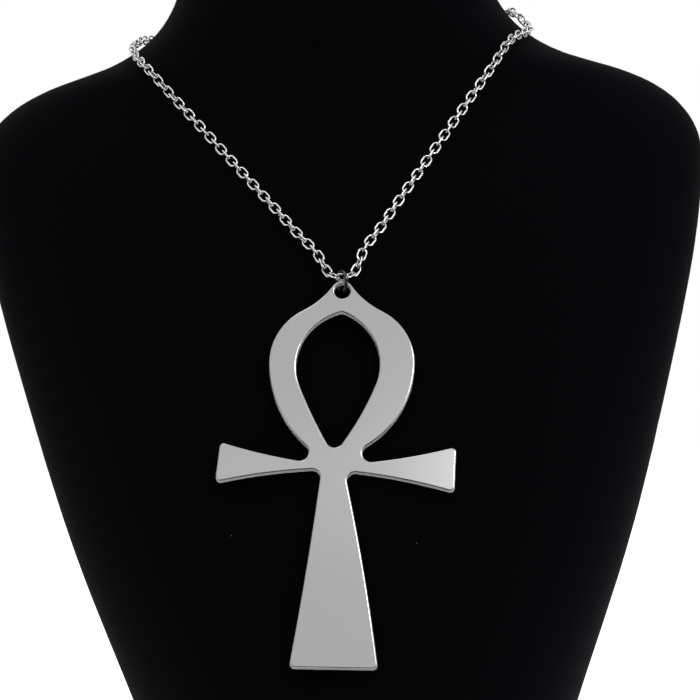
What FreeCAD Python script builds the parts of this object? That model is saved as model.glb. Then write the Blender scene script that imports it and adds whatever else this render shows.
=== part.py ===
"""An ankh pendant on a cable chain, laid round a velvet neck bust.

Millimetres, +Z up, the bust faces -Y and stands on Z = 0 with the middle of its base at the
origin's X. "Left" and "right" are as seen from the front. The plate of the ankh is drawn
flat, with the centre of its hanging hole at the sketch's origin, then leaned on the chest.
"""

import FreeCAD
import Part
import Sketcher
import math
import os

Vector = FreeCAD.Vector
Rotation = FreeCAD.Rotation

SIZES = {
    # the plate: eyelet and loop
    "plate_thickness": 2.4,
    "hole_diameter": 4.7,
    "eyelet_radius": 3.2,
    "flank_radius": 24.0,
    "loop_top_radius": 17.9,
    "loop_below": 21.8,
    "right_loop": 21.4,
    "left_loop": 20.6,
    # the plate: where the loop runs into the arms
    "crotch_radius": 2.6,
    "crotch_below": 48.8,
    "right_crotch": 9.45,
    "left_crotch": 11.15,
    # the plate: arms, of which the right one flares a little more
    "arm_edge_radius": 160.0,
    "right_tip_top": 33.7,
    "right_tip_top_below": 46.4,
    "right_tip_low": 33.3,
    "right_tip_low_below": 60.0,
    "left_tip_top": 33.9,
    "left_tip_top_below": 46.2,
    "left_tip_low": 35.0,
    "left_tip_low_below": 58.3,
    # the plate: stem
    "armpit_radius": 2.4,
    "right_armpit": 5.0,
    "right_armpit_below": 57.0,
    "left_armpit": 7.45,
    "left_armpit_below": 56.3,
    "right_stem_radius": 650.0,
    "left_stem_radius": 1100.0,
    "foot_half_width": 12.5,
    "foot_below": 111.6,
    # the plate: the eye inside the loop
    "eye_radius": 17.0,
    "eye_top": 0.2,
    "eye_top_below": 6.4,
    "right_eye": 10.2,
    "right_eye_below": 28.4,
    "left_eye": 11.56,
    "left_eye_below": 29.2,
    "eye_tip": 1.4,
    "eye_tip_below": 49.4,
    # the plate: rounded corners and rims
    "eye_top_round": 2.0,
    "eye_tip_round": 2.6,
    "corner_round": 1.3,
    "rim_round": 0.45,
    "hole_rim_round": 0.25,
    "back_bevel": 0.2,
    # how the plate hangs: its hole, its lean on the chest and its turn
    "hole_side": -0.56,
    "hole_front": -60.15,
    "hole_height": 156.9,
    "plate_lean": 18.0,
    "plate_turn": 3.1,
    # the jump ring
    "ring_radius": 3.1,
    "ring_wire": 0.9,
    "ring_turn": 24.0,
    "ring_above_hole": 3.2,
    "ring_behind_hole": 0.15,
    "ring_slit_at": 150.0,
    "ring_arc": 357.6,
    # the chain's oval links
    "link_length": 4.32,
    "link_width": 3.0,
    "link_wire": 0.6,
    "link_pitch": 2.72,
    "chain_under_ring": 0.36,
    "first_link_rise": 26.0,
    "first_link_slack": 0.09,
    "chain_off_bust": 2.15,
    # where the chain crosses the silhouette and lies behind the neck
    "left_slope_side": 61.6,
    "left_slope_height": 232.4,
    "left_crest_height": 238.5,
    "right_slope_side": 57.8,
    "right_slope_height": 239.0,
    "right_crest_height": 243.5,
    "nape_height": 246.0,
    # the clasp
    "clasp_thickness": 0.6,
    "clasp_hole_radius": 1.0,
    "clasp_rim": 0.9,
    "clasp_hole_gap": 8.0,
    "clasp_link_gap": 0.3,
    # the bust
    "neck_axis_back": 12.0,
    "bust_edge_round": 2.5,
}

# The bust's outline: height, half the width, half the depth, and the middle's way back.
BUST_COLUMNS = ("height", "half_width", "half_depth", "back")
BUST_ROWS = (
    (0.0, 54.0, 64.2, -38.2),
    (36.0, 66.3, 61.0, -34.1),
    (80.0, 83.0, 56.2, -27.1),
    (128.0, 97.5, 49.6, -17.3),
    (165.0, 107.3, 44.0, -7.5),
    (190.0, 111.9, 40.4, 0.7),
    (204.0, 111.7, 38.0, 5.5),
    (213.0, 107.2, 37.2, 8.8),
    (220.0, 99.0, 37.0, 10.7),
    (225.5, 87.0, 37.5, 11.5),
    (229.5, 74.5, 38.1, 11.9),
    (234.0, 64.6, 38.9, 11.9),
    (240.0, 56.8, 40.0, 11.9),
    (250.0, 50.0, 41.1, 11.8),
    (266.0, 46.8, 41.8, 11.6),
    (285.0, 45.5, 42.0, 11.5),
)

BUST_LEVELS = 20
BUST_STEPS_ROUND = 28
LINK_SIDES = 5
LINK_END_STEPS = 4
FRONT_STATIONS = 12
NAPE_STATIONS = 7
FLAT = 0.01  # an edge whose height varies by less than this lies level

# first guesses, in degrees and millimetres, that the sketches' rules then settle
EYELET_ANGLE = 40
SHOULDER_ANGLE = 122
LOOP_END_ANGLE = 133
ARM_START_ANGLE = 278
ARM_END_ANGLE = 98
STEM_START_ANGLE = 188
LOOP_LOW_RADIUS = 30.5
EYE_LOW_RADIUS = 85.0
NEARLY_HALF_ROUND = 1.0001

# how the links are rolled, in degrees, and after how many links that changes
HANGING_ROLL = 45
SETTLED_LINKS = 6
TURNING_LINKS = 14
SLOPE_SHARE = 0.6
PITCH_SPARE = 0.01

doc = FreeCAD.newDocument("ankh_necklace")
sheet = doc.addObject("Spreadsheet::Sheet", "sizes")


def fill_sheet():
    """Put every driving size, and the bust's rows, into cells with names."""
    cells = list(SIZES.items())
    for number, row in enumerate(BUST_ROWS):
        for column, value in zip(BUST_COLUMNS, row):
            cells.append((f"bust_{column}_{number:02d}", value))
    for row, (name, value) in enumerate(cells, start=1):
        sheet.set(f"A{row}", name)
        sheet.set(f"B{row}", str(value))
        sheet.setAlias(f"B{row}", name)
    doc.recompute()


def size(name):
    """The number in the cell of this name."""
    return float(getattr(sheet, name))


def polar(centre, radius, degrees, side=1):
    """A point on a circle, with the angle counted from the side that is being drawn."""
    angle = math.radians(degrees)
    return centre + Vector(side * math.cos(angle), math.sin(angle), 0) * radius


class Edge:
    """A line or an arc of a sketch, with the sketch's own numbers for its two ends."""

    def __init__(self, sketch, start, end, radius=0.0, centre_side=1):
        """The arc's centre is to the left of the way from start to end, or right for -1."""
        self.sketch = sketch
        if radius == 0.0:
            self.index = sketch.addGeometry(Part.LineSegment(start, end))
            self.start, self.end = 1, 2
            return
        chord = end - start
        rise = math.sqrt(radius**2 - (chord.Length / 2) ** 2)
        across = Vector(-chord.y, chord.x, 0).normalize() * centre_side
        centre = (start + end) / 2 + across * rise
        first, last = (start, end) if centre_side > 0 else (end, start)
        circle = Part.Circle(centre, Vector(0, 0, 1), radius)
        angles = [math.atan2(p.y - centre.y, p.x - centre.x) for p in (first, last)]
        self.index = sketch.addGeometry(Part.ArcOfCircle(circle, *angles))
        self.start, self.end = (1, 2) if centre_side > 0 else (2, 1)

    def join(self, other, kind="Tangent"):
        """The other edge starts where this one ends, smoothly unless the kind says not."""
        rule = Sketcher.Constraint(kind, self.index, self.end, other.index, other.start)
        self.sketch.addConstraint(rule)


def bind(sketch, kind, *where, to):
    """Add a constraint that follows the cell of this name."""
    index = sketch.addConstraint(Sketcher.Constraint(kind, *where, size(to)))
    sketch.setExpression(f"Constraints[{index}]", f"sizes.{to}")


def pin(sketch, edge, point, side, across, below):
    """Hold a point at its distances beside and below the centre of the hole."""
    ends = (-1, 1, edge.index, point) if side > 0 else (edge.index, point, -1, 1)
    bind(sketch, "DistanceX", *ends, to=across)
    bind(sketch, "DistanceY", edge.index, point, -1, 1, to=below)


CENTRE = 3  # the sketch's number for an arc's centre


def new_sketch(body, name):
    """A sketch on the body's own XY plane."""
    sketch = body.newObject("Sketcher::SketchObject", name)
    plane = [one for one in body.Origin.OriginFeatures if one.Role == "XY_Plane"][0]
    sketch.AttachmentSupport = [(plane, "")]
    sketch.MapMode = "FlatFace"
    return sketch


def outline_side(sketch, name, side):
    """The edges of one half of the ankh, from the eyelet round to the foot of the stem."""

    def at(key, key_below=None):
        return Vector(side * size(f"{name}_{key}"), -size(key_below or f"{name}_{key}_below"), 0)

    crotch = at("crotch", "crotch_below")
    armpit = at("armpit")
    widest = at("loop", "loop_below")
    shoulder = polar(widest, size("loop_top_radius"), SHOULDER_ANGLE, side)
    loop_end = polar(crotch, size("crotch_radius"), LOOP_END_ANGLE, side)
    arm_start = polar(crotch, size("crotch_radius"), ARM_START_ANGLE, side)
    arm_end = polar(armpit, size("armpit_radius"), ARM_END_ANGLE, side)
    stem_start = polar(armpit, size("armpit_radius"), STEM_START_ANGLE, side)
    foot = Vector(side * size("foot_half_width"), -size("foot_below"), 0)
    eyelet_side = polar(Vector(), size("eyelet_radius"), EYELET_ANGLE, side)
    edges = {
        "flank": Edge(sketch, eyelet_side, shoulder, size("flank_radius"), side),
        "loop_top": Edge(sketch, shoulder, widest, size("loop_top_radius"), -side),
        "loop_low": Edge(sketch, widest, loop_end, LOOP_LOW_RADIUS, -side),
        "crotch": Edge(sketch, loop_end, arm_start, size("crotch_radius"), side),
        "arm_top": Edge(sketch, arm_start, at("tip_top"), size("arm_edge_radius"), side),
        "tip": Edge(sketch, at("tip_top"), at("tip_low")),
        "arm_low": Edge(sketch, at("tip_low"), arm_end, size("arm_edge_radius"), side),
        "armpit": Edge(sketch, arm_end, stem_start, size("armpit_radius"), side),
        "stem": Edge(sketch, stem_start, foot, size(f"{name}_stem_radius"), -1),
    }
    order = list(edges.values())
    for before, after in zip(order, order[1:]):
        sharp = edges["tip"] in (before, after)
        before.join(after, "Coincident" if sharp else "Tangent")
    for key, radius in (
        ("flank", "flank_radius"),
        ("loop_top", "loop_top_radius"),
        ("crotch", "crotch_radius"),
        ("arm_top", "arm_edge_radius"),
        ("arm_low", "arm_edge_radius"),
        ("armpit", "armpit_radius"),
        ("stem", f"{name}_stem_radius"),
    ):
        bind(sketch, "Radius", edges[key].index, to=radius)
    top = edges["loop_top"]
    pin(sketch, top, top.end, side, f"{name}_loop", "loop_below")
    sketch.addConstraint(Sketcher.Constraint("Horizontal", top.index, CENTRE, top.index, top.end))
    pin(sketch, edges["crotch"], CENTRE, side, f"{name}_crotch", "crotch_below")
    pin(sketch, edges["tip"], 1, side, f"{name}_tip_top", f"{name}_tip_top_below")
    pin(sketch, edges["tip"], 2, side, f"{name}_tip_low", f"{name}_tip_low_below")
    pin(sketch, edges["armpit"], CENTRE, side, f"{name}_armpit", f"{name}_armpit_below")
    pin(sketch, edges["stem"], edges["stem"].end, side, "foot_half_width", "foot_below")
    return edges


def draw_outline(sketch):
    """The whole outline: both halves, joined by the eyelet's cap and the foot."""
    right = outline_side(sketch, "right", 1)
    left = outline_side(sketch, "left", -1)
    ends = [polar(Vector(), size("eyelet_radius"), EYELET_ANGLE, side) for side in (-1, 1)]
    cap = Edge(sketch, *ends, size("eyelet_radius"), -1)
    cap.join(right["flank"])
    rule = Sketcher.Constraint(
        "Tangent", cap.index, cap.start, left["flank"].index, left["flank"].start
    )
    sketch.addConstraint(rule)
    sketch.addConstraint(Sketcher.Constraint("Coincident", cap.index, CENTRE, -1, 1))
    bind(sketch, "Radius", cap.index, to="eyelet_radius")
    corners = [Vector(side * size("foot_half_width"), -size("foot_below"), 0) for side in (1, -1)]
    foot = Edge(sketch, *corners)
    right["stem"].join(foot, "Coincident")
    stem = left["stem"]
    rule = Sketcher.Constraint("Coincident", foot.index, foot.end, stem.index, stem.end)
    sketch.addConstraint(rule)


def draw_eye(sketch):
    """The pointed eye: on each side a round upper arc that runs into a flatter lower one."""
    top = Vector(size("eye_top"), -size("eye_top_below"), 0)
    tip = Vector(-size("eye_tip"), -size("eye_tip_below"), 0)
    pairs = []
    for name, side in (("right", 1), ("left", -1)):
        bend = Vector(side * size(f"{name}_eye"), -size(f"{name}_eye_below"), 0)
        upper = Edge(sketch, top, bend, size("eye_radius"), -side)
        lower = Edge(sketch, bend, tip, EYE_LOW_RADIUS, -side)
        upper.join(lower)
        bind(sketch, "Radius", upper.index, to="eye_radius")
        pin(sketch, upper, upper.end, side, f"{name}_eye", f"{name}_eye_below")
        pairs.append((upper, lower))
    (upper, lower), (other_upper, other_lower) = pairs
    pin(sketch, upper, upper.start, 1, "eye_top", "eye_top_below")
    pin(sketch, lower, lower.end, -1, "eye_tip", "eye_tip_below")
    for one, one_end, two, two_end in (
        (upper, upper.start, other_upper, other_upper.start),
        (lower, lower.end, other_lower, other_lower.end),
    ):
        sketch.addConstraint(Sketcher.Constraint("Coincident", one.index, one_end, two.index, two_end))


def upright_edge(shape, x, y):
    """The name of the upright edge that stands nearest to a point of the plate."""

    def distance(item):
        box = item[1].BoundBox
        if box.ZLength < size("plate_thickness") / 2:
            return math.inf
        return math.hypot(box.Center.x - x, box.Center.y - y)

    number, _ = min(enumerate(shape.Edges, start=1), key=distance)
    return f"Edge{number}"


def rim_edges(shape, height, inside_hole):
    """The names of the edges at this height, either the hole's or all the rest."""
    names = []
    for number, edge in enumerate(shape.Edges, start=1):
        box = edge.BoundBox
        if box.ZLength > FLAT or abs(box.ZMin - height) > FLAT:
            continue
        centre_gap = math.hypot(box.Center.x, box.Center.y)
        of_hole = centre_gap < FLAT and box.XLength < 2 * size("eyelet_radius")
        if of_hole == inside_hole:
            names.append(f"Edge{number}")
    return names


def dress(body, kind, base, names, value):
    """Round or bevel some edges of the body's last feature."""
    feature = body.newObject(f"PartDesign::{kind}", f"{body.Name}_{value}")
    feature.Base = (base, names)
    feature.setExpression("Size" if kind == "Chamfer" else "Radius", f"sizes.{value}")
    doc.recompute()
    return feature


def make_ankh():
    """The plate of the ankh, leaned on the chest with its hole round the ring."""
    body = doc.addObject("PartDesign::Body", "ankh_pendant")
    outline = new_sketch(body, "ankh_outline")
    draw_outline(outline)
    plate = body.newObject("PartDesign::Pad", "ankh_plate")
    plate.Profile = outline
    plate.setExpression("Length", "sizes.plate_thickness")
    eye = new_sketch(body, "ankh_eye")
    draw_eye(eye)
    hole = new_sketch(body, "ankh_hole")
    circle = hole.addGeometry(Part.Circle(Vector(), Vector(0, 0, 1), size("hole_diameter") / 2))
    hole.addConstraint(Sketcher.Constraint("Coincident", circle, CENTRE, -1, 1))
    bind(hole, "Diameter", circle, to="hole_diameter")
    last = plate
    for name, profile in (("ankh_eye_cut", eye), ("ankh_hole_cut", hole)):
        doc.recompute()
        before = last.Shape.Volume
        cut = body.newObject("PartDesign::Pocket", name)
        cut.Profile = profile
        cut.Type = "ThroughAll"
        cut.Reversed = True
        doc.recompute()
        if cut.Shape.Volume >= before:
            raise RuntimeError(f"{name} cuts nothing")
        last = cut
    foot, foot_below = size("foot_half_width"), -size("foot_below")
    rounds = (
        ("eye_top_round", [(size("eye_top"), -size("eye_top_below"))]),
        ("eye_tip_round", [(-size("eye_tip"), -size("eye_tip_below"))]),
        (
            "corner_round",
            [
                (foot, foot_below),
                (-foot, foot_below),
                (size("right_tip_top"), -size("right_tip_top_below")),
                (size("right_tip_low"), -size("right_tip_low_below")),
                (-size("left_tip_top"), -size("left_tip_top_below")),
                (-size("left_tip_low"), -size("left_tip_low_below")),
            ],
        ),
    )
    for value, corners in rounds:
        names = [upright_edge(last.Shape, *corner) for corner in corners]
        last = dress(body, "Fillet", last, names, value)
    face = size("plate_thickness")
    last = dress(body, "Fillet", last, rim_edges(last.Shape, face, False), "rim_round")
    last = dress(body, "Fillet", last, rim_edges(last.Shape, face, True), "hole_rim_round")
    last = dress(body, "Chamfer", last, rim_edges(last.Shape, 0.0, False), "back_bevel")
    body.Tip = last
    rotation = Rotation(Vector(1, 0, 0), 90 - size("plate_lean"))
    rotation = rotation * Rotation(Vector(0, 0, 1), -size("plate_turn"))
    middle = rotation.multVec(Vector(0, 0, size("plate_thickness") / 2))
    body.Placement = FreeCAD.Placement(hole_centre() - middle, rotation)
    return body


def hole_centre():
    """The middle of the plate's hanging hole, where the plate hangs."""
    return Vector(size("hole_side"), size("hole_front"), size("hole_height"))


def ring_centre():
    """The ring stands upright, with its lowest stretch of wire inside the plate's hole."""
    rise = size("ring_above_hole") - size("ring_radius")
    back = rise * math.tan(math.radians(size("plate_lean"))) + size("ring_behind_hole")
    return hole_centre() + Vector(0, back, size("ring_above_hole"))


def make_ring():
    """The jump ring: round wire, bent to a circle with a narrow slit."""
    ring = doc.addObject("Part::Torus", "jump_ring")
    ring.setExpression("Radius1", "sizes.ring_radius")
    ring.setExpression("Radius2", "sizes.ring_wire / 2")
    ring.setExpression("Angle3", "sizes.ring_arc")
    upright = Rotation(Vector(0, 0, 1), size("ring_turn")) * Rotation(Vector(0, 1, 0), 90)
    upright = upright * Rotation(Vector(0, 0, 1), size("ring_slit_at"))
    ring.Placement = FreeCAD.Placement(ring_centre(), upright)
    return ring


def row_curve(across, back, parameters):
    """A smooth curve through one or two columns of the bust's rows, against the height."""
    points = []
    for number in range(len(BUST_ROWS)):
        cell = {column: size(f"bust_{column}_{number:02d}") for column in BUST_COLUMNS}
        points.append(Vector(cell[across], cell[back] if back else 0, cell["height"]))
    if not parameters:
        parameters.append(0.0)
        for before, after in zip(points, points[1:]):
            step = math.hypot(after.x - before.x, after.z - before.z)
            parameters.append(parameters[-1] + step)
    curve = Part.BSplineCurve()
    curve.interpolate(Points=points, Parameters=parameters)
    return curve


def make_bust():
    """The neck bust: oval sections from the base to the cut top of the neck."""
    parameters = []
    widths = row_curve("half_width", "back", parameters)
    depths = row_curve("half_depth", None, parameters)
    base, top = size("bust_height_00"), size(f"bust_height_{len(BUST_ROWS) - 1:02d}")
    grid = []
    for step in range(BUST_STEPS_ROUND + 1):
        angle = 2 * math.pi * step / BUST_STEPS_ROUND + math.pi / 2
        column = []
        for level in range(BUST_LEVELS + 1):
            place = parameters[-1] * level / BUST_LEVELS
            wide, deep = widths.value(place), depths.value(place)
            height = min(max(wide.z, base), top)
            column.append(
                Vector(wide.x * math.cos(angle), wide.y + deep.x * math.sin(angle), height)
            )
        grid.append(column)
    surface = Part.BSplineSurface()
    surface.interpolate(grid)
    wall = surface.toShape()
    ends = [edge for edge in wall.Edges if edge.BoundBox.ZLength < FLAT]
    shell = Part.makeShell([wall] + [Part.Face(Part.Wire([edge])) for edge in ends])
    shell.sewShape()
    form = doc.addObject("Part::Feature", "bust_form")
    form.Shape = Part.Solid(shell)
    edge_round = size("bust_edge_round")
    bust = doc.addObject("Part::Fillet", "neck_bust")
    bust.Base = form
    bust.Edges = [
        (number, edge_round, edge_round)
        for number, edge in enumerate(form.Shape.Edges, start=1)
        if edge.BoundBox.ZMax < base + FLAT
    ]
    doc.recompute()
    return bust


def off_bust(bust, inner, direction):
    """The chain's place over the skin of the bust, where a ray from inside leaves it."""
    reach = 200.0
    ray = Part.makeLine(inner, inner + direction * reach)
    crossings = ray.section(bust.Shape).Vertexes
    exit_point = max((v.Point for v in crossings), key=lambda p: (p - inner).Length)
    probe = exit_point + direction * size("chain_off_bust")
    _, pairs, _ = Part.Vertex(probe).distToShape(bust.Shape)
    skin = pairs[0][1]
    return skin + (probe - skin).normalize() * size("chain_off_bust")


def pulled_tight(stations):
    """Move the stations forward to where a strand that is pulled over the chest runs."""
    start = stations[0]
    places = [math.hypot(point.x - start.x, point.z - start.z) for point in stations]
    kept = []
    for number, place in enumerate(places):
        while len(kept) > 1:
            first, second = kept[-2:]
            slope_in = (stations[second].y - stations[first].y) / (places[second] - places[first])
            slope_out = (stations[number].y - stations[second].y) / (place - places[second])
            if slope_out > slope_in:
                break
            kept.pop()
        kept.append(number)
    tight = []
    for first, second in zip(kept, kept[1:]):
        for number in range(first, second):
            share = (places[number] - places[first]) / (places[second] - places[first])
            y = stations[first].y + (stations[second].y - stations[first].y) * share
            tight.append(Vector(stations[number].x, y, stations[number].z))
    return tight + [stations[-1]]


def chain_bottom():
    """The middle of the link that carries the ring, at its lowest place on the chain."""
    reach = (size("link_width") - size("link_wire")) / 2
    reach = reach * math.sin(math.radians(HANGING_ROLL)) + size("link_wire") / 2
    inner_top = size("ring_radius") - size("ring_wire") / 2
    return ring_centre() + Vector(0, 0, inner_top - size("chain_under_ring") - reach)


def strand_route(bust, name, side):
    """One strand's middle line, from the ring's link over the shoulder slope to the clasp."""
    pitch = size("link_pitch")
    start = chain_bottom() + Vector(side * (pitch / 2 - size("first_link_slack")), 0, 0)
    slope = Vector(side * size(f"{name}_slope_side"), 0, size(f"{name}_slope_height"))
    axis = size("neck_axis_back")
    stations = [start]
    for number in range(1, FRONT_STATIONS + 1):
        share = number / FRONT_STATIONS
        x = start.x + (slope.x - start.x) * share
        z = start.z + (slope.z - start.z) * share
        stations.append(off_bust(bust, Vector(x, axis, z), Vector(0, -1, 0)))
    route = pulled_tight(stations)
    rise = math.radians(size("first_link_rise"))
    back = (route[1].y - start.y) * pitch / (route[1] - start).Length
    route.insert(1, start + Vector(side * pitch * math.cos(rise), back, pitch * math.sin(rise)))
    crest, nape = size(f"{name}_crest_height"), size("nape_height")
    for number in range(NAPE_STATIONS):
        share = number / NAPE_STATIONS
        height = crest + (nape - crest) * math.sin(share * math.pi / 2)
        angle = share * math.pi / 2
        direction = Vector(side * math.cos(angle), math.sin(angle), 0)
        route.append(off_bust(bust, Vector(0, axis, height), direction))
    route.append(clasp_centre(bust) + Vector(side * clasp_reach(), 0, 0))
    curve = Part.BSplineCurve()
    curve.interpolate(route)
    return curve.toShape()


def clasp_centre(bust):
    """The clasp lies behind the neck, at the chain's distance from it."""
    return off_bust(bust, Vector(0, size("neck_axis_back"), size("nape_height")), Vector(0, 1, 0))


def clasp_reach():
    """How far from the clasp's middle the last link's pull is."""
    hanging = size("clasp_hole_radius") - size("link_wire") / 2 - size("clasp_link_gap")
    link_half = (size("link_length") - size("link_wire")) / 2
    return size("clasp_hole_gap") / 2 + hanging + link_half - size("link_pitch") / 2


def make_link():
    """An oval link of faceted wire, lying in the XY plane with its length along X."""
    wire = size("link_wire") / 2
    bend = (size("link_width") - size("link_wire")) / 2
    straight = (size("link_length") - size("link_width")) / 2
    middle = []
    for side in (1, -1):
        for step in range(LINK_END_STEPS + 1):
            turn = step / LINK_END_STEPS * 180 - 90
            middle.append(polar(Vector(straight, 0, 0), bend, turn) * side)
    rings = []
    for number, point in enumerate(middle):
        before = (point - middle[number - 1]).normalize()
        after = (middle[(number + 1) % len(middle)] - point).normalize()
        along = (before + after).normalize()
        stretch = 1 / along.dot(after)
        out = Vector(along.y, -along.x, 0)
        ring = []
        for side in range(LINK_SIDES):
            angle = 2 * math.pi * side / LINK_SIDES
            lift = Vector(0, 0, 1) * math.sin(angle) * wire
            ring.append(point + out * math.cos(angle) * wire * stretch + lift)
        rings.append(ring)
    faces = []
    for number, ring in enumerate(rings):
        following = rings[(number + 1) % len(rings)]
        for side in range(LINK_SIDES):
            other = (side + 1) % LINK_SIDES
            corners = [ring[side], ring[other], following[other], following[side], ring[side]]
            faces.append(Part.Face(Part.makePolygon(corners)))
    link = Part.Solid(Part.makeShell(faces))
    if link.Volume < 0:
        link.reverse()
    return link


def place_link(link, start, end, outward, roll):
    """A copy of the link from one pull point to the next, rolled from lying flat."""
    along = (end - start).normalize()
    out = (outward - along * outward.dot(along)).normalize()
    rotation = Rotation(along, out.cross(along), out, "XZY") * Rotation(Vector(1, 0, 0), roll)
    placed = link.copy()
    placed.Placement = FreeCAD.Placement((start + end) / 2, rotation)
    return placed


def link_roll(number, count, side):
    """Each link is a quarter turn from the last; slow twists settle the strand on the slope."""
    slope = round(count * SLOPE_SHARE)
    twist = 0.0
    if number < SETTLED_LINKS:
        twist = HANGING_ROLL * (SETTLED_LINKS - number) / (SETTLED_LINKS - 1)
    elif number > slope:
        end_twist = 0 if count % 2 else 90
        share = (number - slope) / (count - slope)
        twist = HANGING_ROLL + (end_twist - HANGING_ROLL) * share
    elif number > TURNING_LINKS:
        twist = HANGING_ROLL * (number - TURNING_LINKS) / (slope - TURNING_LINKS)
    return side * twist + 90 * number


def make_strand(bust, name, side, with_centre):
    """One strand of links, as loose solids of one sub-part."""
    link = make_link()
    route = strand_route(bust, name, side)
    count = math.ceil(route.Length / (size("link_pitch") + PITCH_SPARE))
    pulls = route.discretize(Number=count + 1)
    links = []
    if with_centre:
        bottom = chain_bottom()
        half = Vector(size("link_pitch") / 2, 0, 0)
        forward = Vector(0, -1, 0)
        links.append(place_link(link, bottom - half, bottom + half, forward, HANGING_ROLL))
    for number, (start, end) in enumerate(zip(pulls, pulls[1:]), start=1):
        middle = (start + end) / 2
        _, pairs, _ = Part.Vertex(middle).distToShape(bust.Shape)
        outward = middle - pairs[0][1]
        links.append(place_link(link, start, end, outward, link_roll(number, count, side)))
    strand = doc.addObject("Part::Feature", f"chain_{name}")
    strand.Shape = Part.makeCompound(links)
    print(f"chain_{name}: {len(links)} links, route {route.Length:.1f}")
    return strand


def make_clasp(bust):
    """The clasp, hidden behind the neck: a plain bar with an eye at each end."""
    body = doc.addObject("PartDesign::Body", "clasp")
    sketch = new_sketch(body, "clasp_outline")
    half, radius = size("clasp_hole_gap") / 2, size("clasp_hole_radius") + size("clasp_rim")
    places = ((half, -radius), (half, radius), (-half, radius), (-half, -radius))
    corners = [Vector(x, y, 0) for x, y in places]
    right = Edge(sketch, corners[0], corners[1], radius * NEARLY_HALF_ROUND, 1)
    top = Edge(sketch, corners[1], corners[2])
    left = Edge(sketch, corners[2], corners[3], radius * NEARLY_HALF_ROUND, 1)
    low = Edge(sketch, corners[3], corners[0])
    for before, after in ((right, top), (top, left), (left, low), (low, right)):
        before.join(after)
    holes = []
    for end in (right, left):
        x = half if end is right else -half
        circle = Part.Circle(Vector(x, 0, 0), Vector(0, 0, 1), size("clasp_hole_radius"))
        hole = sketch.addGeometry(circle)
        sketch.addConstraint(Sketcher.Constraint("Coincident", hole, CENTRE, end.index, CENTRE))
        bind(sketch, "Radius", hole, to="clasp_hole_radius")
        holes.append(hole)
    index = sketch.addConstraint(Sketcher.Constraint("Radius", right.index, radius))
    sketch.setExpression(f"Constraints[{index}]", "sizes.clasp_hole_radius + sizes.clasp_rim")
    ends = (holes[0], CENTRE, holes[1], CENTRE)
    sketch.addConstraint(Sketcher.Constraint("Symmetric", *ends, -1, 1))
    sketch.addConstraint(Sketcher.Constraint("Horizontal", *ends))
    bind(sketch, "DistanceX", holes[1], CENTRE, holes[0], CENTRE, to="clasp_hole_gap")
    bar = body.newObject("PartDesign::Pad", "clasp_bar")
    bar.Profile = sketch
    bar.setExpression("Length", "sizes.clasp_thickness")
    doc.recompute()
    body.Tip = bar
    rotation = Rotation(Vector(1, 0, 0), 90)
    middle = rotation.multVec(Vector(0, 0, size("clasp_thickness") / 2))
    body.Placement = FreeCAD.Placement(clasp_centre(bust) - middle, rotation)
    return body


def check(objects):
    """Stop if anything failed to build."""
    doc.recompute()
    for one in doc.Objects:
        if "Invalid" in one.State or "Error" in one.State:
            raise RuntimeError(f"{one.Name} failed: {one.State}")
    for one in objects:
        if one.Shape.isNull() or not one.Shape.isValid() or one.Shape.Volume <= 0:
            raise RuntimeError(f"{one.Label} has no sound shape")


def main():
    """Build every sub-part and write one file for each."""
    fill_sheet()
    bust = make_bust()
    parts = [
        make_ankh(),
        make_ring(),
        make_strand(bust, "left", -1, True),
        make_strand(bust, "right", 1, False),
        make_clasp(bust),
        bust,
    ]
    check(parts)
    os.makedirs("parts", exist_ok=True)
    for part in parts:
        part.Shape.exportStep(f"parts/{part.Label}.step")


main()
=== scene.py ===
"""Looks of the ankh necklace on its velvet bust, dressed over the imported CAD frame."""

import math

import bmesh
import bpy
from mathutils import Matrix, Vector


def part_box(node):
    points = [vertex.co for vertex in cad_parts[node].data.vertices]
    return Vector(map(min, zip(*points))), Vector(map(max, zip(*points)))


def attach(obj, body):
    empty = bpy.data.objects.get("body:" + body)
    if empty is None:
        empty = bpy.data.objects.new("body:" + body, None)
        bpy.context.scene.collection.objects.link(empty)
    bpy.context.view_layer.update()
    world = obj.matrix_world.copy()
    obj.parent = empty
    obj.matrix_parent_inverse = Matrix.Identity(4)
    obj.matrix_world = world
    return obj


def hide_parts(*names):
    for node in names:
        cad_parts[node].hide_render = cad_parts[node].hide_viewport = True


MM = 0.001

# the links: sizes over the wire, and how finely they are drawn
LINK_LENGTH = 4.32 * MM
LINK_WIDTH = 3.0 * MM
LINK_WIRE = 0.6 * MM
LINK_STEPS = 36
WIRE_SIDES = 12

# the jump ring: its circle, its turn about the vertical and where its slit is
RING_RADIUS = 3.1 * MM
RING_WIRE = 0.9 * MM
RING_TURN = math.radians(24.0)
RING_SLIT_AT = math.radians(150.0)
RING_ARC = math.radians(357.6)
RING_STEPS = 120
RING_SIDES = 24

# the CAD meshes: corners this close are one, and rims this near the top are the top's
WELD = 0.002 * MM
TOP_DEPTH = 0.01 * MM

# how often the main way of a link's corners is worked out again
AXIS_ROUNDS = 60

# the bust: how far its cut neck is rounded over, and in how many steps
NECK_ROUND = 2.5 * MM
NECK_STEPS = 5

# the velvet: its black, and its lint in cells to a metre with its size as a share of a cell
PILE = (0.0006, 0.0006, 0.001)
LINT = (0.05, 0.05, 0.05)
LINT_CELLS = 45.0
LINT_SIZE = 0.009

# the plate: its lean on the chest, and the cosine to its face's way under which a side is matt
PLATE_LEAN = math.radians(18.0)
SIDE_FACING = 0.35

# the floor, in metres, with the strength of its own light
FLOOR_HALF = 3.0
FLOOR_LEVEL = -0.0005
FLOOR_GLOW = 0.45

# the surroundings that metal mirrors: a grey for each height of the way that is looked in
SKY_HEIGHTS = (0.02, 0.5)
SKY_GREYS = (0.12, 0.95)

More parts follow.
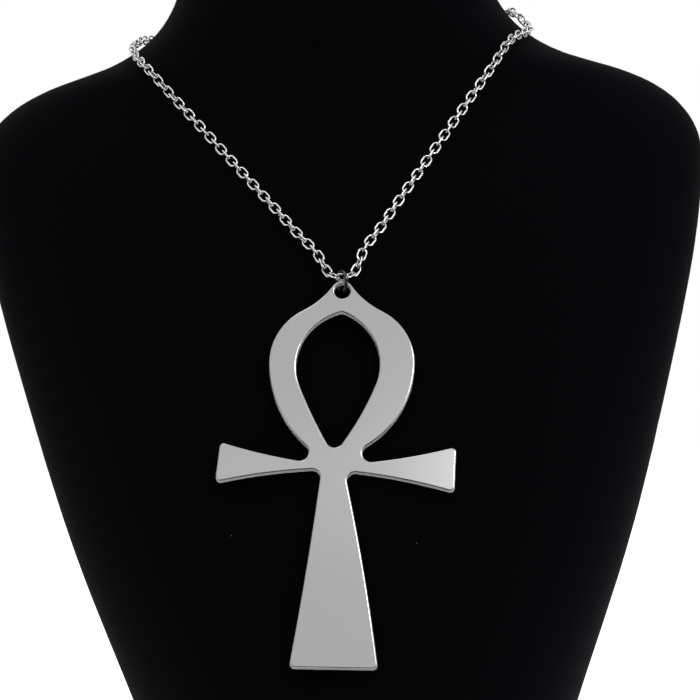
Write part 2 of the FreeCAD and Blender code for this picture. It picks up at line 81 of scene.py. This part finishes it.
# the black card, in metres: half its width, its level and its reach before the chest
CARD_HALF = 0.35
CARD_LEVEL = 0.03
CARD_NEAR = 0.012
CARD_FAR = 0.8

# the soft boxes: name, place, width and height in metres, and power in watts
SOFT_BOXES = (
    ("right", (1.1, -0.5, 0.45), 0.35, 1.0, 2.4),
    ("top", (-0.3, -0.35, 1.4), 0.9, 0.4, 2.4),
    ("ring_gleam", (0.42, -0.95, 0.75), 0.22, 0.22, 4.0),
    ("arm_gleam", (0.085, -0.367, 0.295), 0.12, 0.06, 0.0155),
    ("arm_band", (0.0, -0.367, 0.295), 0.18, 0.04, 0.0027),
)

# the photograph's camera
CAMERA_PLACE = Vector((1.1, -976.0, 140.0)) * MM
CAMERA_LENS = 162.0
CAMERA_SENSOR = 36.0
CAMERA_NEAREST = 0.01
CAMERA_ROLL = math.radians(1.96)

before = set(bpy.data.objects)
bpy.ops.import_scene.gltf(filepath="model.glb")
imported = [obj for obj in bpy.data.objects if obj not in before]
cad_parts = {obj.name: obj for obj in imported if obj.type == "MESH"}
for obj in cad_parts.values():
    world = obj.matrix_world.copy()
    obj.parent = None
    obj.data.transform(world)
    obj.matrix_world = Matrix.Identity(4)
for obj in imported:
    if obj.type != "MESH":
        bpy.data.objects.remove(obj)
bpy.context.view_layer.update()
scene = bpy.context.scene


def principled(name, color, **sockets):
    """A material whose shader has these values on its own sockets."""
    material = bpy.data.materials.new(name)
    material.use_nodes = True
    shader = material.node_tree.nodes["Principled BSDF"]
    shader.inputs["Base Color"].default_value = (*color, 1.0)
    for key, value in sockets.items():
        shader.inputs[key.replace("_", " ")].default_value = value
    return material, shader


def add_bump(material, shader, scale, distance, detail=2.0, strength=1.0):
    """Fine relief from noise in the piece's own space, with its size in noise cells a metre."""
    nodes, links = material.node_tree.nodes, material.node_tree.links
    place = nodes.new("ShaderNodeTexCoord")
    noise = nodes.new("ShaderNodeTexNoise")
    noise.inputs["Scale"].default_value = scale
    noise.inputs["Detail"].default_value = detail
    bump = nodes.new("ShaderNodeBump")
    bump.inputs["Strength"].default_value = strength
    bump.inputs["Distance"].default_value = distance
    links.new(place.outputs["Object"], noise.inputs["Vector"])
    links.new(noise.outputs["Fac"], bump.inputs["Height"])
    links.new(bump.outputs["Normal"], shader.inputs["Normal"])


def worked_out(material, operation, source, number=0.0):
    """One number worked out from another by a node."""
    node = material.node_tree.nodes.new("ShaderNodeMath")
    node.operation = operation
    node.inputs[1].default_value = number
    material.node_tree.links.new(source, node.inputs[0])
    return node.outputs[0]


def plate_metal():
    """Polished light grey metal, very slightly wavy, with matt sides to the plate."""
    material, shader = principled("plate metal", (0.415, 0.415, 0.418), Metallic=1.0, Roughness=0.16)
    add_bump(material, shader, scale=45.0, distance=0.04 * MM, detail=1.0)
    nodes, links = material.node_tree.nodes, material.node_tree.links
    place = nodes.new("ShaderNodeTexCoord")
    facing = nodes.new("ShaderNodeVectorMath")
    facing.operation = "DOT_PRODUCT"
    facing.inputs[1].default_value = (0.0, -math.cos(PLATE_LEAN), math.sin(PLATE_LEAN))
    links.new(place.outputs["Normal"], facing.inputs[0])
    either_way = worked_out(material, "ABSOLUTE", facing.outputs["Value"])
    polished = worked_out(material, "GREATER_THAN", either_way, SIDE_FACING)
    links.new(polished, shader.inputs["Metallic"])
    return material


def chain_metal():
    """Bright polished steel."""
    material, _ = principled("chain metal", (0.66, 0.66, 0.67), Metallic=1.0, Roughness=0.14)
    return material


def ring_metal():
    """Darker polished steel."""
    material, _ = principled("ring metal", (0.06, 0.06, 0.065), Metallic=1.0, Roughness=0.12)
    return material


def velvet():
    """Black pile with a faint sheen and a few pale specks of lint."""
    material, shader = principled(
        "velvet",
        PILE,
        Roughness=0.95,
        Specular_IOR_Level=0.02,
        Sheen_Weight=0.018,
        Sheen_Roughness=0.45,
        Sheen_Tint=(0.85, 0.88, 1.0, 1.0),
    )
    add_bump(material, shader, scale=2600.0, distance=0.12 * MM, strength=0.5)
    nodes, links = material.node_tree.nodes, material.node_tree.links
    place = nodes.new("ShaderNodeTexCoord")
    cells = nodes.new("ShaderNodeTexVoronoi")
    cells.inputs["Scale"].default_value = LINT_CELLS
    links.new(place.outputs["Object"], cells.inputs["Vector"])
    near = worked_out(material, "LESS_THAN", cells.outputs["Distance"], LINT_SIZE)
    mix = nodes.new("ShaderNodeMix")
    mix.data_type = "RGBA"
    mix.inputs["A"].default_value = (*PILE, 1.0)
    mix.inputs["B"].default_value = (*LINT, 1.0)
    links.new(near, mix.inputs["Factor"])
    links.new(mix.outputs["Result"], shader.inputs["Base Color"])
    return material


def finished_mesh(shape, name):
    """The shape's mesh, of this name."""
    mesh = bpy.data.meshes.new(name)
    shape.to_mesh(mesh)
    shape.free()
    return mesh


def new_piece(name, mesh, material, node, body):
    """Put a mesh in the scene as a piece that stands for a CAD node."""
    piece = bpy.data.objects.new(name, mesh)
    scene.collection.objects.link(piece)
    mesh.materials.clear()
    mesh.materials.append(material)
    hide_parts(node)
    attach(piece, body)
    return piece


def smooth_copy(node, sharp_degrees, rim_round=0.0):
    """The node's mesh, welded and shaded smooth up to this angle, its top rim rounded."""
    shape = bmesh.new()
    shape.from_mesh(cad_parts[node].data)
    bmesh.ops.remove_doubles(shape, verts=shape.verts, dist=WELD)
    sharp = math.radians(sharp_degrees)
    if rim_round:
        top = max(vertex.co.z for vertex in shape.verts) - TOP_DEPTH
        rims = [
            edge
            for edge in shape.edges
            if all(vertex.co.z > top for vertex in edge.verts) and edge.calc_face_angle() > sharp
        ]
        bmesh.ops.bevel(
            shape, geom=rims, offset=rim_round, segments=NECK_STEPS, profile=0.5, affect="EDGES"
        )
    for face in shape.faces:
        face.smooth = True
    for edge in shape.edges:
        edge.smooth = len(edge.link_faces) == 2 and edge.calc_face_angle() < sharp
    return finished_mesh(shape, node)


def tube(shape, middle, sides, radius, closed, place):
    """Add a round tube along a flat middle line, given as points with their outward ways."""
    rings = []
    for point, outward in middle:
        ring = []
        for side in range(sides):
            angle = 2 * math.pi * side / sides
            offset = outward * math.cos(angle) + Vector((0, 0, 1)) * math.sin(angle)
            ring.append(shape.verts.new(place @ (point + offset * radius)))
        rings.append(ring)
    spans = list(zip(rings, rings[1:]))
    if closed:
        spans.append((rings[-1], rings[0]))
    for one, two in spans:
        for side in range(sides):
            other = (side + 1) % sides
            face = shape.faces.new((one[side], one[other], two[other], two[side]))
            face.smooth = True
    if not closed:
        shape.faces.new(rings[0])
        shape.faces.new(list(reversed(rings[-1])))


def link_line():
    """The middle line of an oval link: two half circles with straights between them."""
    bend = (LINK_WIDTH - LINK_WIRE) / 2
    straight = (LINK_LENGTH - LINK_WIDTH) / 2
    half = LINK_STEPS // 2
    line = []
    for end in (1, -1):
        for step in range(half + 1):
            angle = math.pi * (step / half - 0.5)
            outward = Vector((math.cos(angle), math.sin(angle), 0)) * end
            line.append((Vector((straight, 0, 0)) * end + outward * bend, outward))
    return line


def islands(mesh):
    """The corner points of each separate link in a chain's mesh."""
    shape = bmesh.new()
    shape.from_mesh(mesh)
    bmesh.ops.remove_doubles(shape, verts=shape.verts, dist=WELD)
    seen, found = set(), []
    for start in shape.verts:
        if start in seen:
            continue
        seen.add(start)
        island, waiting = [], [start]
        while waiting:
            vertex = waiting.pop()
            island.append(vertex.co.copy())
            for edge in vertex.link_edges:
                other = edge.other_vert(vertex)
                if other not in seen:
                    seen.add(other)
                    waiting.append(other)
        found.append(island)
    shape.free()
    return found


def main_axis(points, start):
    """The way in which points about the origin spread most, by repeated multiplication."""
    way = start
    for _ in range(AXIS_ROUNDS):
        way = sum((point * point.dot(way) for point in points), Vector()).normalized()
    return way


def link_place(corners):
    """Where a link lies: its middle, its length along X and its width along Y."""
    middle = sum(corners, Vector()) / len(corners)
    points = [corner - middle for corner in corners]
    along = main_axis(points, max(points, key=lambda point: point.length))
    across = [point - along * point.dot(along) for point in points]
    wide = main_axis(across, max(across, key=lambda point: point.length))
    thick = along.cross(wide)
    turn = Matrix((along, wide, thick)).transposed().to_4x4()
    return Matrix.Translation(middle) @ turn


def make_chain(name, node, material):
    """Round-wire links, each where the node's faceted link lies."""
    shape = bmesh.new()
    line = link_line()
    for corners in islands(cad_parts[node].data):
        tube(shape, line, WIRE_SIDES, LINK_WIRE / 2, True, link_place(corners))
    bmesh.ops.recalc_face_normals(shape, faces=shape.faces)
    mesh = finished_mesh(shape, name)
    return new_piece(name, mesh, material, node, "display")


def make_ring(material):
    """The jump ring's round wire, with its slit, where the node's ring stands."""
    low, high = (Vector(corner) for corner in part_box("jump_ring"))
    turn = Matrix.Rotation(RING_TURN, 4, "Z") @ Matrix.Rotation(math.pi / 2, 4, "Y")
    turn = turn @ Matrix.Rotation(RING_SLIT_AT, 4, "Z")
    line = []
    for step in range(RING_STEPS + 1):
        angle = RING_ARC * step / RING_STEPS
        outward = Vector((math.cos(angle), math.sin(angle), 0))
        line.append((outward * RING_RADIUS, outward))
    place = Matrix.Translation((low + high) / 2) @ turn
    shape = bmesh.new()
    tube(shape, line, RING_SIDES, RING_WIRE / 2, False, place)
    bmesh.ops.recalc_face_normals(shape, faces=shape.faces)
    mesh = finished_mesh(shape, "ring_wire")
    return new_piece("ring_wire", mesh, material, "jump_ring", "display")


def make_bust():
    """The velvet-covered bust."""
    mesh = smooth_copy("neck_bust", sharp_degrees=50.0, rim_round=NECK_ROUND)
    return new_piece("velvet_bust", mesh, velvet(), "neck_bust", "display")


def make_plate():
    """The polished ankh."""
    mesh = smooth_copy("ankh_pendant", sharp_degrees=40.0)
    plate = new_piece("ankh_plate", mesh, plate_metal(), "ankh_pendant", "pendant")
    even = plate.modifiers.new("flat faces stay flat", "WEIGHTED_NORMAL")
    even.keep_sharp = True
    even.weight = 100
    return plate


def make_clasp(material):
    """The plain clasp behind the neck."""
    mesh = smooth_copy("clasp", sharp_degrees=30.0)
    return new_piece("clasp_bar", mesh, material, "clasp", "display")


def level_sheet(name, half, near, far, level, material):
    """A level sheet, from side to side and from its near edge to its far one."""
    mesh = bpy.data.meshes.new(name)
    corners = [(-half, near, level), (half, near, level), (half, far, level), (-half, far, level)]
    mesh.from_pydata(corners, [], [(0, 1, 2, 3)])
    mesh.materials.append(material)
    sheet = bpy.data.objects.new(name, mesh)
    scene.collection.objects.link(sheet)
    return sheet


def make_floor():
    """A plain white floor with a little light of its own."""
    material, shader = principled("floor white", (0.9, 0.9, 0.9), Roughness=0.9)
    shader.inputs["Emission Color"].default_value = (1.0, 1.0, 1.0, 1.0)
    shader.inputs["Emission Strength"].default_value = FLOOR_GLOW
    floor = level_sheet("floor", FLOOR_HALF, -FLOOR_HALF, FLOOR_HALF, FLOOR_LEVEL, material)


def make_surroundings():
    """White behind the part, and for what metal mirrors a grey that grows lighter upward."""
    world = bpy.data.worlds.new("white")
    scene.world = world
    world.use_nodes = True
    nodes, links = world.node_tree.nodes, world.node_tree.links
    white = nodes["Background"]
    white.inputs["Color"].default_value = (1.0, 1.0, 1.0, 1.0)
    studio = nodes.new("ShaderNodeBackground")
    ways = nodes.new("ShaderNodeTexCoord")
    split = nodes.new("ShaderNodeSeparateXYZ")
    ramp = nodes.new("ShaderNodeValToRGB")
    for stop, (height, grey) in enumerate(zip(SKY_HEIGHTS, SKY_GREYS)):
        ramp.color_ramp.elements[stop].position = height
        ramp.color_ramp.elements[stop].color = (grey, grey, grey, 1.0)
    links.new(ways.outputs["Generated"], split.inputs["Vector"])
    links.new(split.outputs["Z"], ramp.inputs["Fac"])
    links.new(ramp.outputs["Color"], studio.inputs["Color"])
    kind = nodes.new("ShaderNodeLightPath")
    choice = nodes.new("ShaderNodeMixShader")
    links.new(kind.outputs["Is Camera Ray"], choice.inputs["Fac"])
    links.new(studio.outputs["Background"], choice.inputs[1])
    links.new(white.outputs["Background"], choice.inputs[2])
    links.new(choice.outputs["Shader"], nodes["World Output"].inputs["Surface"])


def make_flag():
    """A black card low in front, out of sight, that the plate's lower rims mirror."""
    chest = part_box("neck_bust")[0][1]
    material, _ = principled("flag black", (0.001, 0.001, 0.001), Roughness=1.0)
    near, far = chest - CARD_NEAR, chest - CARD_FAR
    flag = level_sheet("black_flag", CARD_HALF, near, far, CARD_LEVEL, material)
    flag.visible_camera = False
    flag.visible_diffuse = False
    flag.visible_shadow = False


def soft_light(name, place, target, width, height, power):
    """A soft box that looks at a point and isn't seen itself."""
    light = bpy.data.lights.new(name, "AREA")
    light.shape = "RECTANGLE"
    light.size, light.size_y, light.energy = width, height, power
    lamp = bpy.data.objects.new(name, light)
    scene.collection.objects.link(lamp)
    lamp.location = place
    lamp.rotation_euler = (target - lamp.location).to_track_quat("-Z", "Y").to_euler()
    lamp.visible_camera = False


def make_lights():
    """Soft boxes for the rims, the links, the ring and the plate's right arm."""
    low, high = (Vector(corner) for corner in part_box("ankh_pendant"))
    target = (low + high) / 2
    for name, place, width, height, power in SOFT_BOXES:
        soft_light(name, Vector(place), target, width, height, power)


def make_camera():
    """The camera of the photograph: level and far, with a long lens and a slight roll."""
    data = bpy.data.cameras.new("camera")
    data.lens = CAMERA_LENS
    data.sensor_width = CAMERA_SENSOR
    data.clip_start = CAMERA_NEAREST
    camera = bpy.data.objects.new("camera", data)
    scene.collection.objects.link(camera)
    level = Matrix.Rotation(math.pi / 2, 4, "X")
    roll = Matrix.Rotation(CAMERA_ROLL, 4, "Y")
    camera.matrix_world = Matrix.Translation(CAMERA_PLACE) @ roll @ level
    scene.camera = camera


steel = chain_metal()
make_bust()
make_plate()
make_ring(ring_metal())
make_chain("links_left", "chain_left", steel)
make_chain("links_right", "chain_right", steel)
make_clasp(steel)
make_floor()
make_surroundings()
make_flag()
make_lights()
make_camera()
scene.view_settings.view_transform = "Standard"

bpy.context.view_layer.update()
